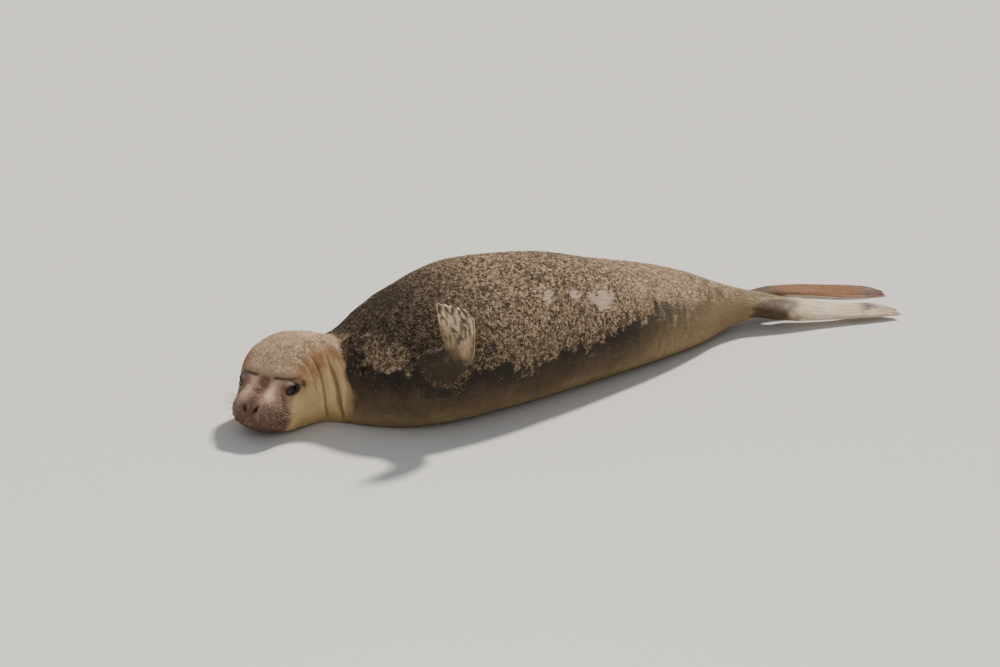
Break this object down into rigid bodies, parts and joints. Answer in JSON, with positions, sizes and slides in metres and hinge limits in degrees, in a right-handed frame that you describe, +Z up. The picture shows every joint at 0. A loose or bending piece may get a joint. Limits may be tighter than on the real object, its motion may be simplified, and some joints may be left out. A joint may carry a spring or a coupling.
{
  "type": "elephant seal model",
  "caption": "Life-size museum model of a young northern elephant seal lying prone, chin just off the floor, one fore flipper raised as if tossing sand.",
  "frame": {"origin": "on the floor, under the centre of the animal's bounding box", "axes": "+Z up, +X toward the tail, -Y toward the animal's left side"},
  "size_m": [2.6986, 0.8104, 0.5522],
  "materials": {
    "head": "short velvety coat, sandy beige, dusted with dry sand",
    "lower_jaw": "bare brown skin of lip and chin",
    "neck": "short tan coat over folded skin",
    "trunk": "short brown coat with caked sand on the back",
    "tail": "short brown coat",
    "fore_flipper": "short cream coat with dark streaks",
    "pale_hind_flipper": "cream skin with slate patches",
    "brown_hind_flipper": "brown skin, paler at the edges",
    "claw": "smooth dark slate horn",
    "eye": "wet, near black"
  },
  "bodies": {
    "root": {"head": "head", "lower_jaw": "lower_jaw", "left_eye": "eye", "right_eye": "eye", "neck": "neck", "chest": "trunk", "belly": "trunk", "hips": "trunk", "tail": "tail", "left_fore_flipper": "fore_flipper", "right_fore_flipper": "fore_flipper", "left_hind_flipper": "pale_hind_flipper", "right_hind_flipper": "brown_hind_flipper", "left_fore_claw_1": "claw", "left_fore_claw_2": "claw", "left_fore_claw_3": "claw", "left_fore_claw_4": "claw", "left_fore_claw_5": "claw", "right_fore_claw_1": "claw", "right_fore_claw_2": "claw", "right_fore_claw_3": "claw", "right_fore_claw_4": "claw", "right_fore_claw_5": "claw"}
  },
  "joints": []
}
